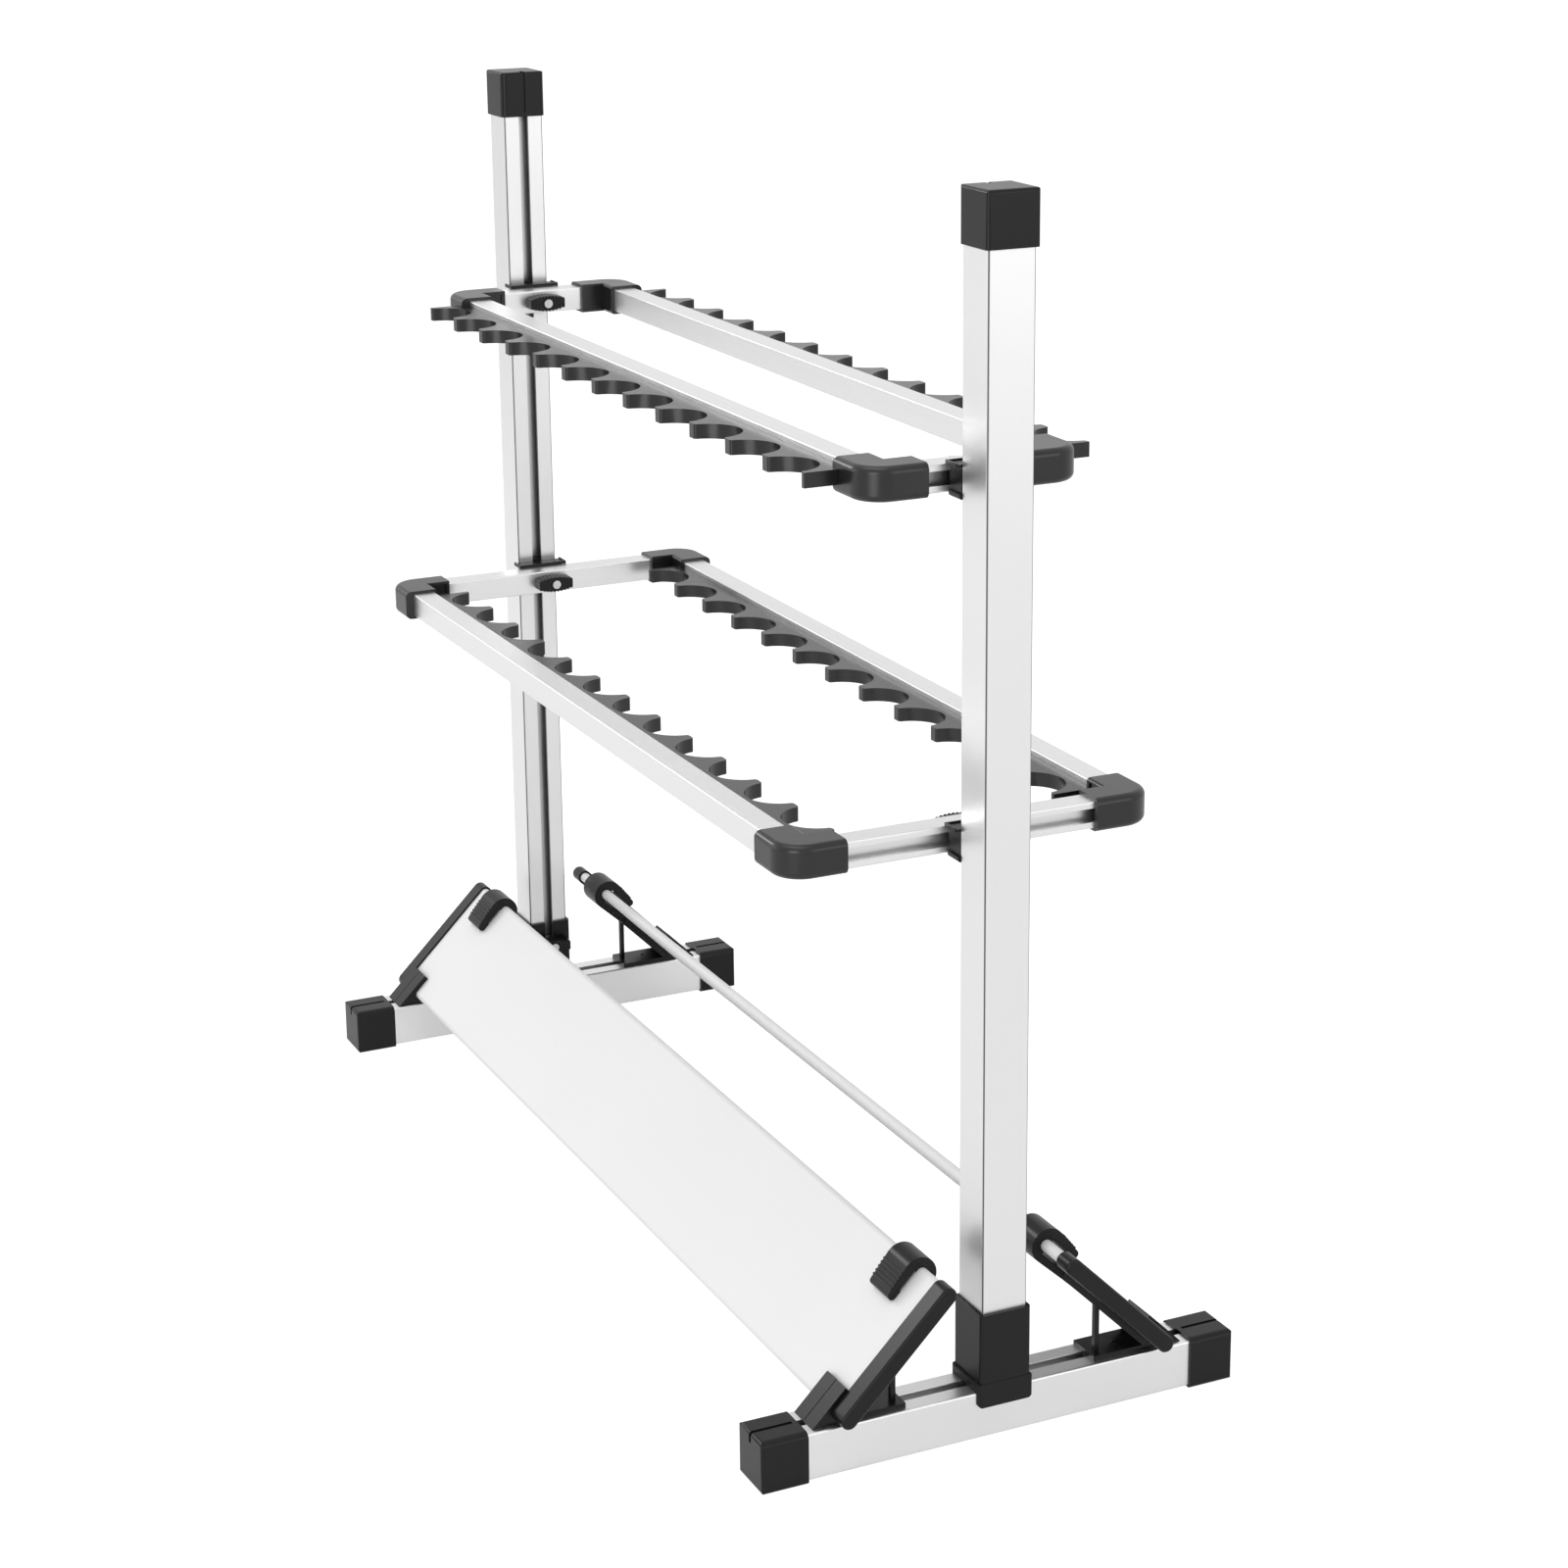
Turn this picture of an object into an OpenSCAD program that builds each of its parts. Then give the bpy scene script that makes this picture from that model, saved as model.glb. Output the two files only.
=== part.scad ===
// Free-standing rack for fishing rods. Two slotted uprights stand on slotted feet and carry
// an upper and a wider middle rack with notched combs. Two tilted trays take the rod butts.
// Origin on the floor under the middle; +X to the right end, +Y to the rear, +Z up.

/* [Overall] */
// Distance between the two uprights, centre to centre
post_span = 702; // [600:1:900]
// Length of each foot over its end caps
foot_length = 300; // [290:1:400]
// Height of the stand over the upright caps
stand_height = 700; // [660:1:900]
// Height of the centre of the upper rack
upper_level = 544; // [440:1:560]
// Height of the centre of the middle rack
middle_level = 343; // [320:1:430]
// Width of the upper rack over its rails
upper_width = 122; // [110:1:150]
// Width of the middle rack over its rails
middle_width = 219; // [200:1:240]

/* [Uprights and feet] */
// Side of the square extrusion of the uprights and feet
post_size = 28; // [26:0.5:32]
// Wall of that extrusion
post_wall = 1.6; // [1.2:0.1:2]
// Outside corner radius of that extrusion
post_corner = 1.2; // [0.5:0.1:2]
// Width of the slot opening in its face
slot_open = 6.4; // [6.2:0.1:7.5]
// Thickness of the lips beside the slot
slot_lip = 1.8; // [1.8:0.1:2.4]
// Width of the channel behind the lips
channel_w = 13; // [11:0.5:14]
// Depth of the channel behind the lips
channel_d = 5; // [4.6:0.1:5.5]

/* [Foot caps and upright caps] */
// Wall of a foot cap beside the rail
foot_cap_wall = 1.35; // [1.2:0.05:2]
// Length of a foot cap
foot_cap_length = 28.3; // [20:0.1:30]
// Thickness of a foot cap's closed end
foot_cap_end = 3.3; // [2:0.1:5]
// Wall of an upright cap beside the post
post_cap_wall = 1.6; // [1.2:0.05:2]
// Length of an upright cap
post_cap_length = 30.6; // [20:0.1:36]
// Thickness of an upright cap's closed end
post_cap_end = 3; // [2:0.1:5]
// Radius of the long cap edges beside the groove
cap_round = 4; // [2.5:0.1:4]
// Radius of the other cap edges
cap_edge = 2.2; // [1:0.1:2.5]
// Width of the groove in a cap
cap_groove = 2.5; // [1.5:0.1:3]
// Depth of the groove in a cap
cap_groove_depth = 1; // [0.6:0.1:1.2]
// Clearance between a cap and the extrusion in it, each side
cap_fit = 0.15; // [0.1:0.05:0.25]

/* [Post sockets] */
// Height of a socket above its foot
socket_height = 47.2; // [44:0.1:60]
// Wall of the socket's sleeve
socket_wall = 1.6; // [1.4:0.1:2.4]
// Thickness of the socket's floor
socket_floor = 2.5; // [2:0.1:4]
// Clearance between the sleeve and the post, each side
socket_fit = 0.3; // [0.2:0.05:0.4]
// Wall of the saddle's cheeks beside the foot
cheek_wall = 1.95; // [1.5:0.05:2.4]
// Length of the saddle along the foot
saddle_length = 35; // [34:0.5:40]
// How far the cheeks reach down beside the foot
cheek_drop = 9; // [6:0.5:14]
// How far the cheeks rise above the foot
cheek_rise = 5.5; // [4:0.1:9]
// Radius of the cheeks' lower corners
cheek_round = 3.5; // [1:0.1:5]
// Height of the socket's clamp bolt above the foot
socket_bolt_rise = 31; // [22:0.5:33]

/* [Rack bars] */
// Side of the square extrusion of the rack bars
bar_size = 15.5; // [15:0.5:17]
// Wall of that extrusion
bar_wall = 1.3; // [1:0.1:1.5]
// Outside corner radius of that extrusion
bar_corner = 0.8; // [0.4:0.1:1.2]
// Width of the slot opening in a bar
bar_slot_open = 8; // [7:0.1:9]
// Thickness of the lips beside the bar's slot
bar_lip = 1.5; // [1.2:0.1:2]
// Width of the channel in a bar
bar_channel_w = 11; // [10:0.1:12]
// Depth of the channel in a bar
bar_channel_d = 5; // [4.5:0.1:5.4]
// Gap between a bar's end and the connector's block
bar_gap = 0.5; // [0.3:0.1:1]

/* [Corner connectors] */
// Thickness of a connector above and below the bar
corner_plate = 2; // [1.6:0.1:3]
// Wall of a connector outside the crossbar
corner_wall = 3; // [2.5:0.1:4]
// Wall of a connector outside the rail
rail_wall = 5.5; // [4:0.1:6.4]
// Wall of a connector on the inner side of the bars
inner_wall = 2.2; // [1.8:0.1:3]
// How far that inner wall lies back under the connector's plates
inner_recess = 1; // [0.4:0.1:1.2]
// Length of the collar at the end of that recess
leg_collar = 2.5; // [1.5:0.1:5]
// Length of a connector's leg from its outer face
leg_length = 38; // [32:0.5:44]
// Radius of a connector's outer corner seen from above
corner_round = 18; // [12:0.5:20]
// Radius along a connector's outer edges
corner_edge = 4; // [2:0.1:5]
// Radius along the inner edges of the leg on the rail
inner_edge = 2.4; // [1:0.1:2.5]

/* [Combs] */
// Number of rod notches in a comb
notch_count = 12; // [8:1:12]
// Thickness of a comb
comb_thick = 8.5; // [6:0.5:11]
// Depth of a comb from the bar to the tips
comb_depth = 25.5; // [22:0.5:28]
// Radius of a rod notch
notch_r = 20.5; // [17:0.1:21]
// How far beyond the tips a notch's centre lies
notch_back = 1.5; // [1:0.1:6]
// Radius of the corners of a prong's tip
tip_round = 2; // [1:0.1:2.3]
// How far the tongue of a comb reaches into the bar's slot
tongue_depth = 4; // [3:0.1:5]
// Clearance of a sliding tongue or lug in its slot, each side
slide_fit = 0.2; // [0.15:0.05:0.3]
// How far the upper combs run on past the connectors' legs
upper_comb_run = 7; // [3:0.1:12]
// How far the middle combs run on past the connectors' legs
middle_comb_run = 3.5; // [0.5:0.1:12]

/* [Spacers] */
// Distance a spacer keeps between the upright and the crossbar
spacer_depth = 12; // [9:0.5:14]
// Width of a spacer's top plate
spacer_width = 35; // [32:0.5:40]
// Width of a spacer's bottom plate
spacer_foot_width = 31; // [30:0.5:36]
// Thickness of a spacer's top plate
spacer_plate = 2.3; // [1.6:0.1:2.6]
// How far a spacer stands above and below the crossbar
spacer_rise = 2.2; // [1.2:0.1:3]
// Width of the rim round the tray in a spacer's top plate
spacer_rim = 1.2; // [0.8:0.1:2]
// Depth of that tray
spacer_dish = 0.8; // [0.3:0.1:1]
// How far a spacer's key reaches into the crossbar's slot
key_depth = 1.2; // [0.8:0.1:1.4]
// Depth of a guide lug in the upright's slot
lug_depth = 1.6; // [1:0.1:1.7]
// Height of a guide lug
lug_height = 22; // [16:0.5:26]

/* [Clamps and screws] */
// Radius of every bolt's shank
bolt_r = 2.4; // [2:0.1:2.5]
// Radius of the holes that the bolts pass through
hole_r = 2.6; // [2.6:0.05:2.9]
// Radial clearance of a bolt in its knob or nut
thread_fit = 0.05; // [0.02:0.01:0.08]
// Thickness of a T-shaped bolt head
t_head_thick = 3; // [2:0.1:4]
// Height of a T-shaped bolt head
t_head_height = 8; // [6:0.5:10]
// Clearance of a T-head or nut across its channel, each side
t_head_fit = 0.5; // [0.3:0.1:0.8]
// Length of an oval hand knob
knob_length = 25; // [22:0.5:28]
// Height of a hand knob
knob_height = 10.8; // [9.6:0.1:14]
// Height of a hand knob at its flat ends
knob_end_height = 6.6; // [5:0.1:8.6]
// Radius that rounds the corners of a hand knob
knob_corner = 3.6; // [2.6:0.1:4.4]
// Thickness of a hand knob
knob_depth = 10; // [7:0.5:12]
// Gap between a hand knob and its seat
knob_gap = 0.2; // [0.1:0.05:0.3]
// Distance between the grip grooves of a hand knob
grip_pitch = 2.6; // [2:0.1:4]
// Radius of a grip groove
grip_r = 0.7; // [0.4:0.05:0.9]
// Radius of the dished face round a knob's bolt
dish_r = 4; // [3.6:0.1:4.4]
// Depth of the dished face round a knob's bolt
dish_depth = 0.8; // [0.4:0.1:2]
// How far a bolt's end stands out of its knob
bolt_proud = 1.2; // [0.5:0.1:3]
// Radius of the ring that keeps a knob on its bolt
ring_r = 3; // [2.8:0.1:3.2]
// Radius of a slot screw's head
screw_head_r = 4.4; // [3.6:0.1:4.6]
// Height of the head of a socket screw
pan_head = 3; // [2:0.1:3.5]
// Height of the low head of a bracket screw
low_head = 2; // [1.4:0.1:2.2]
// Height of a slot nut
nut_height = 4; // [3:0.1:4.4]
// Length of a slot nut
nut_length = 10; // [8:0.5:12]

/* [Trays] */
// Slope of the trays from level, in degrees
tray_tilt = 45; // [42:1:48]
// Distance between the two edge centres of a tray panel
panel_span = 86; // [70:1:90]
// Thickness of a tray panel
panel_thick = 7; // [6:0.5:8]
// Wall of a tray panel
panel_wall = 1.2; // [1:0.1:1.6]
// Distance between the two ribs inside a tray panel
rib_span = 28; // [20:1:36]
// How far a tray panel runs past the centre of the uprights
panel_run = 11; // [8:0.5:14]
// Thickness of a tray's end cap
tray_cap_thick = 10; // [9:0.5:10.5]
// Length of a tray's end cap
tray_cap_length = 13; // [8:0.5:20]
// Radius along the edge of a tray's end cap
tray_cap_edge = 1.8; // [0.5:0.1:2]
// Length of the plug of a tray's end cap
plug_length = 10; // [5:0.5:20]
// Distance from a foot cap in to the centre of a panel's lower edge
tray_inset = 21.3; // [20:0.1:30]

/* [Tray brackets] */
// Width of a bracket's base
bracket_width = 23; // [20:0.5:24]
// Gap between a bracket and the panel's end cap
bracket_side_gap = 0.5; // [0.3:0.1:2]
// Thickness of a bracket's base plate
plate_thick = 3; // [2.4:0.1:4]
// How far the base plate reaches inward from the panel's lower edge
plate_reach = 40.4; // [36:0.1:42]
// Space between the base plate and the panel's lower edge
panel_lift = 0.6; // [0.3:0.1:2]
// Clearance between a bracket and the panel
panel_fit = 0.1; // [0.1:0.05:0.3]
// Thickness of the arm under the panel
arm_thick = 5.2; // [4:0.1:6]
// Thickness of the block in front of the panel
block_thick = 3.4; // [2.4:0.1:4]
// Height of that block up the panel, from the lower edge's centre
block_height = 12; // [6:0.5:20]
// Width and depth of the parting groove down the middle of that block
block_groove = 0.6; // [0.4:0.1:1]
// Width of a bracket's hook
hook_width = 22.5; // [18:0.5:26]
// How far the hook is set in from the base, along the panel
hook_offset = 20; // [14:0.5:22]
// Outside radius of the hook's head
head_r = 10.6; // [9:0.1:12]
// How far the head's centre lies below the panel's upper edge centre
head_drop = 1.5; // [0:0.1:3]
// How far the head's centre is raised off the panel's middle
head_raise = 0.5; // [0:0.1:1]
// Length of the hook's lip from the head's centre
lip_length = 21; // [16:0.5:30]
// Thickness of the lip at its tip
lip_tip = 5.4; // [4:0.1:5.8]
// Number of grip ribs on the lip
lip_ribs = 5; // [3:1:6]
// Radius of a grip rib
lip_rib_r = 0.7; // [0.4:0.05:1]
// Depth of the relief between hook and panel
relief_depth = 1.5; // [0.6:0.1:2]
// Width of the strut under the arm
strut_width = 3; // [2:0.5:10]
// Depth of the strut along the foot
strut_depth = 3; // [2:0.5:8]
// How far above the panel's middle the arm starts to slant inward
jog_start = 5; // [4:0.5:8]
// Length of that slanted stretch of the arm
jog_length = 15; // [12:0.5:16]

/* [Hidden] */
$fn = 64;

LEFT = -1;
RIGHT = 1;
FRONT = -1;
REAR = 1;
OUTWARD = 1;
INWARD = -1;

// How far a cutter runs past the surface that it opens
cut = 1;

// Uprights and feet
post_x = post_span / 2;
post_in = post_x - post_size / 2;
foot_low = foot_cap_wall + cap_fit;
foot_mid = foot_low + post_size / 2;
foot_top = foot_low + post_size;
post_foot = foot_top + socket_floor;
post_top = stand_height - post_cap_end;
foot_cap_size = post_size + 2 * (cap_fit + foot_cap_wall);
post_cap_size = post_size + 2 * (cap_fit + post_cap_wall);
cap_cavity = post_size + 2 * cap_fit;
groove_stop = 3;
groove_drop = 6;

// Sockets
socket_bore = post_size + 2 * socket_fit;
socket_size = socket_bore + 2 * socket_wall;
saddle_width = cap_cavity + 2 * cheek_wall;
socket_round = 2;
shoulder_round = 1.4;
socket_knob_seat = post_x - socket_size / 2;

// Rack bars and connectors
crossbar_out = post_in - spacer_depth;
crossbar_in = crossbar_out - bar_size;
rail_half = crossbar_in - bar_gap;
corner_height = bar_size + 2 * corner_plate;
cross_edge = 0.5;
spacer_foot = 3.5;
spacer_foot_round = 2;
plate_edge = 0.5;
corner_out = crossbar_out + corner_wall;
leg_end = corner_out - leg_length;
rail_leg_width = rail_wall + bar_size + inner_wall;
cross_leg_width = corner_wall + bar_size + inner_wall;

// A rack: its level, half its width over the rails, the way its combs point from the rails,
// and how far its combs run past the connectors' legs
UPPER = [upper_level, upper_width / 2, OUTWARD, upper_comb_run];
MIDDLE = [middle_level, middle_width / 2, INWARD, middle_comb_run];
function level(rack) = rack[0];
function rail_out(rack) = rack[1];
function points_out(rack) = rack[2] == OUTWARD;
function comb_half(rack) = leg_end + rack[3];
function comb_pitch(rack) = 2 * comb_half(rack) / notch_count;
function rail_face(rack) = points_out(rack) ? rail_out(rack) : rail_out(rack) - bar_size;
function leg_proud(rack) = points_out(rack) ? rail_wall : inner_wall;

// Half the width of a notch where the rounding of its prongs starts, less a little, so that
// the corner's arc crosses the notch's arc
tip_bite = 0.05;
tip_run = sqrt(pow(notch_r, 2) - pow(notch_back + tip_round, 2)) - tip_bite;
tongue_end = leg_end - cap_fit - slide_fit;

// Clamps
t_head_x = post_in + slot_lip;
knob_round = pow(knob_length, 2) / (4 * (knob_height - knob_end_height))
    + (knob_height - knob_end_height) / 4;
grip_count = floor(knob_length / 2 / grip_pitch);
socket_bolt_z = foot_top + socket_bolt_rise;
hex_r = 1.7;
hex_depth = 1.2;

// Trays: n is square to the panel, outward and up; s runs up the panel, towards the middle
panel_half = panel_span / 2;
panel_end = post_x + panel_run;
tray_y = foot_length / 2 - foot_cap_length - tray_inset - panel_half * cos(tray_tilt);
tray_z = foot_top + plate_thick + panel_lift + panel_thick / 2 + panel_half * sin(tray_tilt);
panel_low_y = tray_y + panel_half * cos(tray_tilt);
bracket_out = panel_end - bracket_side_gap;
bracket_in = bracket_out - bracket_width;
plate_top = foot_top + plate_thick;
plate_in = panel_low_y - plate_reach;
plate_out = panel_low_y + 10;
seat_n = panel_thick / 2 + panel_fit;
arm_n = seat_n + arm_thick;
head_s = panel_half - head_drop;
head_top = head_raise + head_r;
lip_s = head_s - lip_length + lip_tip / 2;
strut_in = plate_in + 3.5;
strut_x = post_x + 3.5;
screw_y = plate_in + 20;
far = 60;

BLACK = "#2a2b2d";
ALUMINIUM = "#d4d6d8";
PALE = "#eceded";
STEEL = "#a9adb1";

// Mirrors the right rear quarter to the side and end that a piece stands on
module placed(side, end = REAR) {
    mirror([side == LEFT ? 1 : 0, 0, 0])
    mirror([0, end == FRONT ? 1 : 0, 0])
        children();
}

// Extrudes a section drawn in y and z from x0 to x1
module along_x(x0, x1) {
    translate([x0, 0, 0])
    rotate([90, 0, 90])
    linear_extrude(x1 - x0)
        children();
}

// Extrudes a section drawn in x and z from y0 to y1
module along_y(y0, y1) {
    translate([0, y1, 0])
    rotate([90, 0, 0])
    linear_extrude(y1 - y0)
        children();
}

// What rounding takes away from a corner that points to +x +y
module corner_waste(r) {
    translate([-r, -r])
    difference() {
        square(2 * r);
        circle(r);
    }
}

// Rectangle about the origin with round corners, the upper and the lower ones apart
module round_rect(w, h, r_high, r_low) {
    difference() {
        square([w, h], center = true);
        for (flip = [0, 1])
            mirror([flip, 0]) {
                translate([w / 2, h / 2]) corner_waste(r_high);
                mirror([0, 1]) translate([w / 2, h / 2]) corner_waste(r_low);
            }
    }
}

// Rectangle below the x axis whose two upper corners are round
module round_end(w, l, r) {
    difference() {
        translate([-w / 2, -l]) square([w, l]);
        for (flip = [0, 1])
            mirror([flip, 0]) translate([w / 2, 0]) corner_waste(r);
    }
}

// Section of a square extrusion with a T-slot towards +x
module slotted_section(size, wall, corner, slot, lip, chan_w, chan_d) {
    floor_x = size / 2 - lip - chan_d;
    difference() {
        round_rect(size, size, corner, corner);
        difference() {
            square(size - 2 * wall, center = true);
            translate([floor_x - wall, -chan_w / 2 - wall])
                square([lip + chan_d + wall, chan_w + 2 * wall]);
        }
        translate([floor_x, -chan_w / 2]) square([chan_d, chan_w]);
        translate([floor_x, -slot / 2]) square([lip + chan_d + cut, slot]);
    }
}

module post_section() {
    slotted_section(post_size, post_wall, post_corner, slot_open, slot_lip, channel_w, channel_d);
}

module bar_section() {
    slotted_section(bar_size, bar_wall, bar_corner, bar_slot_open, bar_lip,
        bar_channel_w, bar_channel_d);
}

// Moulded cap over the end of a square extrusion: closed end at z = 0, groove on the +y face
module end_cap(size, length, end_wall) {
    difference() {
        intersection() {
            translate([0, 0, -length]) linear_extrude(length) round_rect(size, size, cap_round, cap_edge);
            along_y(-size / 2, size / 2) round_end(size, length, cap_edge);
            along_x(-size / 2, size / 2) round_end(size, length, cap_edge);
        }
        translate([0, 0, -length - cut])
        linear_extrude(length + cut - end_wall)
            round_rect(cap_cavity, cap_cavity, post_corner, post_corner);
        translate([-cap_groove / 2, size / 2 - cap_groove_depth, groove_stop - length])
            cube([cap_groove, size, length]);
        translate([-cap_groove / 2, size / 2 - groove_drop, -cap_groove_depth])
            cube([cap_groove, size, size]);
    }
}

// Feet
module base_rail(side) {
    half = foot_length / 2 - foot_cap_end;
    color(ALUMINIUM)
    placed(side)
    translate([post_x, 0, foot_mid])
    along_y(-half, half)
    rotate(90)
        post_section();
}

module base_cap(side, end) {
    color(BLACK)
    placed(side, end)
    translate([post_x, foot_length / 2, foot_mid])
    rotate([90, 0, 180])
        end_cap(foot_cap_size, foot_cap_length, foot_cap_end);
}

// Post sockets, with a saddle astride the foot
module post_socket(side) {
    saddle_height = cheek_drop + cheek_rise;
    color(BLACK)
    placed(side)
    translate([post_x, 0, foot_top])
    difference() {
        union() {
            linear_extrude(socket_height)
                round_rect(socket_size, socket_size, socket_round, socket_round);
            intersection() {
                translate([0, 0, -cheek_drop])
                linear_extrude(saddle_height)
                    round_rect(saddle_width, saddle_length, socket_round, socket_round);
                translate([0, 0, cheek_rise - saddle_height / 2])
                along_x(-saddle_width, saddle_width)
                    round_rect(saddle_length, saddle_height, shoulder_round, cheek_round);
            }
        }
        translate([-socket_bore / 2, -socket_bore / 2, socket_floor])
            cube([socket_bore, socket_bore, socket_height]);
        translate([-cap_cavity / 2, -saddle_length, -cheek_drop - cut])
            cube([cap_cavity, 2 * saddle_length, cheek_drop + cut]);
        translate([-socket_size, -slot_open / 2, socket_bolt_rise])
            cube([socket_size, slot_open, socket_height]);
        translate([-socket_size, 0, socket_bolt_rise])
        rotate([0, 90, 0])
            cylinder(h = socket_size, r = hole_r);
        translate([0, 0, -cut])
            cylinder(h = socket_floor + 2 * cut, r = hole_r);
    }
}

// Screw down into the slot of a foot, with its nut behind the lips
module slot_screw(seat_z, head_height) {
    nut_top = foot_top - slot_lip;
    nut_w = channel_w - 2 * t_head_fit;
    translate([0, 0, nut_top - nut_height])
        cylinder(h = seat_z - nut_top + nut_height + cut, r = bolt_r);
    translate([0, 0, seat_z])
    difference() {
        cylinder(h = head_height, r = screw_head_r);
        translate([0, 0, head_height - hex_depth]) cylinder(h = hex_depth + cut, r = hex_r, $fn = 6);
    }
    translate([0, 0, nut_top - nut_height])
    linear_extrude(nut_height)
    difference() {
        square([nut_w, nut_length], center = true);
        circle(bolt_r + thread_fit);
    }
}

module socket_screws() {
    color(STEEL)
    for (side = [LEFT, RIGHT])
        placed(side) translate([post_x, 0, 0]) slot_screw(post_foot, pan_head);
}

// Bolt along x whose T-head sits behind the lips of the upright's slot, with a ring at its tip
// that keeps the knob on
module clamp_bolt(knob_seat) {
    tip_x = knob_seat - knob_gap - knob_depth - bolt_proud;
    head_w = channel_w - 2 * t_head_fit;
    translate([tip_x, 0, 0])
    rotate([0, 90, 0])
        cylinder(h = t_head_x - tip_x + cut, r = bolt_r);
    translate([tip_x, 0, 0])
    rotate([0, 90, 0])
        cylinder(h = bolt_proud + dish_depth - thread_fit, r = ring_r);
    translate([t_head_x, -head_w / 2, -t_head_height / 2])
        cube([t_head_thick, head_w, t_head_height]);
}

// Oval hand knob on a clamp bolt, with grip grooves on its two long sides
module hand_knob(knob_seat) {
    bend = knob_height / 2 - knob_round;
    difference() {
        along_x(knob_seat - knob_gap - knob_depth, knob_seat - knob_gap)
        difference() {
            intersection() {
                round_rect(knob_length, knob_height, knob_corner, knob_corner);
                translate([0, bend]) circle(knob_round, $fn = 180);
                translate([0, -bend]) circle(knob_round, $fn = 180);
            }
            circle(bolt_r + thread_fit);
            for (flip = [0, 1], i = [-grip_count : grip_count])
                mirror([0, flip])
                translate([i * grip_pitch, bend + sqrt(pow(knob_round, 2) - pow(i * grip_pitch, 2))])
                    circle(grip_r, $fn = 24);
        }
        translate([knob_seat - knob_gap - knob_depth - cut, 0, 0])
        rotate([0, 90, 0])
            cylinder(h = dish_depth + cut, r = dish_r);
    }
}

module socket_bolts() {
    color(STEEL)
    for (side = [LEFT, RIGHT])
        placed(side) translate([0, 0, socket_bolt_z]) clamp_bolt(socket_knob_seat);
}

// The right socket's knob is turned upright, clear of the tray beside it
module socket_knob(side) {
    color(BLACK)
    placed(side)
    translate([0, 0, socket_bolt_z])
    rotate([side == RIGHT ? 90 : 0, 0, 0])
        hand_knob(socket_knob_seat);
}

// Uprights
module upright(side) {
    color(ALUMINIUM)
    placed(side)
    translate([post_x, 0, post_foot])
    linear_extrude(post_top - post_foot)
    mirror([1, 0])
        post_section();
}

module upright_cap(side) {
    color(BLACK)
    placed(side)
    translate([post_x, 0, stand_height])
    rotate(90)
        end_cap(post_cap_size, post_cap_length, post_cap_end);
}

// Racks
module rail(rack, end) {
    color(ALUMINIUM)
    placed(RIGHT, end)
    translate([0, rail_out(rack) - bar_size / 2, level(rack)])
    along_x(-rail_half, rail_half)
    rotate(points_out(rack) ? 0 : 180)
        bar_section();
}

module crossbar(rack, side) {
    half = rail_out(rack) - bar_size - bar_gap;
    color(ALUMINIUM)
    placed(side)
    translate([crossbar_in + bar_size / 2, 0, level(rack)])
    difference() {
        along_y(-half, half) bar_section();
        translate([-bar_size, 0, 0]) rotate([0, 90, 0]) cylinder(h = 2 * bar_size, r = hole_r);
    }
}

// Section of a connector's leg, its outer face on the z axis
module leg_section(width, edge) {
    translate([-width / 2, 0])
    difference() {
        square([width, corner_height], center = true);
        for (flip = [0, 1])
            mirror([0, flip]) {
                translate([width / 2, corner_height / 2]) corner_waste(corner_edge);
                mirror([1, 0]) translate([width / 2, corner_height / 2]) corner_waste(edge);
            }
    }
}

// Corner of a rack: two hollow legs that take the ends of a rail and a crossbar
module corner(rack, side, end) {
    y_out = rail_out(rack) + rail_wall;
    x_turn = corner_out - corner_round;
    y_turn = y_out - corner_round;
    x_in = corner_out - cross_leg_width;
    y_in = y_out - rail_leg_width;
    cross_end = y_out - leg_length;
    bar_end_y = rail_out(rack) - bar_size - bar_gap;
    color(BLACK)
    placed(side, end)
    translate([0, 0, level(rack)])
    difference() {
        union() {
            along_x(leg_end, x_turn) translate([y_out, 0]) leg_section(rail_leg_width, inner_edge);
            along_y(cross_end, y_turn) translate([corner_out, 0]) leg_section(cross_leg_width, cross_edge);
            translate([x_turn, y_turn, 0])
            rotate_extrude(angle = 90)
            intersection() {
                translate([corner_round, 0]) leg_section(rail_leg_width, inner_edge);
                translate([0, -corner_height]) square(2 * corner_height);
            }
        }
        translate([leg_end - cut, rail_out(rack) - bar_size, -bar_size / 2])
            cube([rail_half - leg_end + cut, bar_size, bar_size]);
        translate([crossbar_in, cross_end - cut, -bar_size / 2])
            cube([bar_size, bar_end_y - cross_end + cut, bar_size]);
        translate([leg_end + leg_collar, y_in - cut, -bar_size / 2])
            cube([x_in + inner_recess - leg_end - leg_collar, inner_recess + cut, bar_size]);
        translate([x_in - cut, cross_end + leg_collar, -bar_size / 2])
            cube([inner_recess + cut, y_in + inner_recess - cross_end - leg_collar, bar_size]);
    }
}

// A rod notch about its own middle, with what rounding takes off the two prongs beside it
module notch() {
    translate([0, comb_depth + notch_back]) circle(notch_r, $fn = 120);
    for (flip = [0, 1])
        mirror([flip, 0])
        translate([tip_run, comb_depth]) mirror([1, 0]) corner_waste(tip_round);
}

// Outline of a comb from the bar's face at y = 0, tips towards +y
module comb_outline(rack) {
    half = comb_half(rack);
    pitch = comb_pitch(rack);
    relief = leg_proud(rack) + slide_fit;
    difference() {
        translate([-half, 0]) square([2 * half, comb_depth]);
        for (i = [0 : notch_count - 1])
            translate([(i + 0.5) * pitch - half, 0]) notch();
        for (flip = [0, 1])
            mirror([flip, 0]) translate([tongue_end, -cut]) square([half, relief + cut]);
    }
}

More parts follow.
